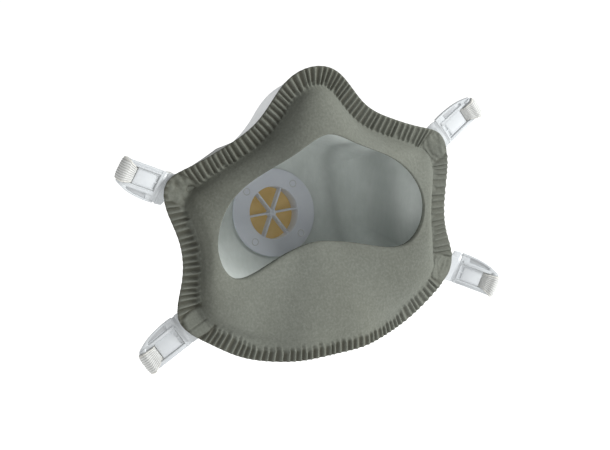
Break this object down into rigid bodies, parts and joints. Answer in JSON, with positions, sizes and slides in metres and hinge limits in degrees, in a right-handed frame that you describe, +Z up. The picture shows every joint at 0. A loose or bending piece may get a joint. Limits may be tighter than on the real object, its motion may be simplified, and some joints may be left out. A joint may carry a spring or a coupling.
{
  "type": "cup respirator mask",
  "caption": "Cup-shaped disposable dust mask with foam face seal, centre exhalation valve, elastic head straps and hinged strap buckles.",
  "frame": {"origin": "centre of the face opening, in the mean plane of the sealing rim", "axes": "+Z up to the nose, +Y forward to the valve, -Y to the wearer, +X to the wearer's right; upright as worn"},
  "size_m": [0.1918, 0.0892, 0.1355],
  "materials": {
    "foam": "matte soft foam",
    "shell": "moulded non-woven",
    "media": "non-woven",
    "valve_plastic": "satin",
    "valve_cover_plastic": "satin",
    "diaphragm": "satin",
    "nose_metal": "satin",
    "buckle_plastic": "translucent satin",
    "elastic": "ribbed elastic"
  },
  "bodies": {
    "mask": {"outer_shell": "shell", "filter_media": "media", "inner_shell": "shell", "face_seal": "foam", "nose_clip": "nose_metal", "valve_base": "valve_plastic", "valve_housing": "valve_cover_plastic", "valve_cover": "valve_cover_plastic", "buckle_base_ul": "buckle_plastic", "buckle_base_ur": "buckle_plastic", "buckle_base_ll": "buckle_plastic", "buckle_base_lr": "buckle_plastic", "strap_upper": "elastic", "strap_lower": "elastic"},
    "valve_disc": {"valve_diaphragm": "diaphragm"},
    "buckle_ul": {"buckle_frame_ul": "buckle_plastic", "strap_end_ul": "elastic"},
    "lock_ul": {"buckle_lock_ul": "buckle_plastic"},
    "buckle_ur": {"buckle_frame_ur": "buckle_plastic", "strap_end_ur": "elastic"},
    "lock_ur": {"buckle_lock_ur": "buckle_plastic"},
    "buckle_ll": {"buckle_frame_ll": "buckle_plastic", "strap_end_ll": "elastic"},
    "lock_ll": {"buckle_lock_ll": "buckle_plastic"},
    "buckle_lr": {"buckle_frame_lr": "buckle_plastic", "strap_end_lr": "elastic"},
    "lock_lr": {"buckle_lock_lr": "buckle_plastic"}
  },
  "joints": [
    {"name": "valve_disc_lift", "type": "slide", "parent": "mask", "child": "valve_disc", "axis": [0, 0.9323, -0.3616], "range_m": [0, 0.0012], "stiffness_N_per_m": 20},
    {"name": "buckle_ul_hinge", "type": "hinge", "parent": "mask", "child": "buckle_ul", "pos_m": [-0.07235, 0.01335, 0.02833], "axis": [0.492, -0.0411, 0.8696], "range_deg": [-10, 45], "stiffness_Nm_per_rad": 0.006},
    {"name": "lock_ul_hinge", "type": "hinge", "parent": "buckle_ul", "child": "lock_ul", "pos_m": [-0.0748, 0.0134, 0.02972], "axis": [0.492, -0.0411, 0.8696], "range_deg": [0, 50], "stiffness_Nm_per_rad": 0.0003},
    {"name": "buckle_ur_hinge", "type": "hinge", "parent": "mask", "child": "buckle_ur", "pos_m": [0.07357, 0.01333, 0.02868], "axis": [0.5521, -0.0444, -0.8326], "range_deg": [-10, 45], "stiffness_Nm_per_rad": 0.006},
    {"name": "lock_ur_hinge", "type": "hinge", "parent": "buckle_ur", "child": "lock_ur", "pos_m": [0.07589, 0.01386, 0.03019], "axis": [0.5521, -0.0444, -0.8326], "range_deg": [0, 50], "stiffness_Nm_per_rad": 0.0003},
    {"name": "buckle_ll_hinge", "type": "hinge", "parent": "mask", "child": "buckle_ll", "pos_m": [-0.06958, 0.00036, -0.04008], "axis": [-0.4536, 0.3448, 0.8218], "range_deg": [-10, 45], "stiffness_Nm_per_rad": 0.006},
    {"name": "lock_ll_hinge", "type": "hinge", "parent": "buckle_ll", "child": "lock_ll", "pos_m": [-0.072, 0.00055, -0.0415], "axis": [-0.4536, 0.3448, 0.8218], "range_deg": [0, 50], "stiffness_Nm_per_rad": 0.0003},
    {"name": "buckle_lr_hinge", "type": "hinge", "parent": "mask", "child": "buckle_lr", "pos_m": [0.07598, 0.00145, -0.03894], "axis": [-0.4511, -0.0735, -0.8894], "range_deg": [-10, 45], "stiffness_Nm_per_rad": 0.006},
    {"name": "lock_lr_hinge", "type": "hinge", "parent": "buckle_lr", "child": "lock_lr", "pos_m": [0.07844, 0.00078, -0.04013], "axis": [-0.4511, -0.0735, -0.8894], "range_deg": [0, 50], "stiffness_Nm_per_rad": 0.0003}
  ]
}
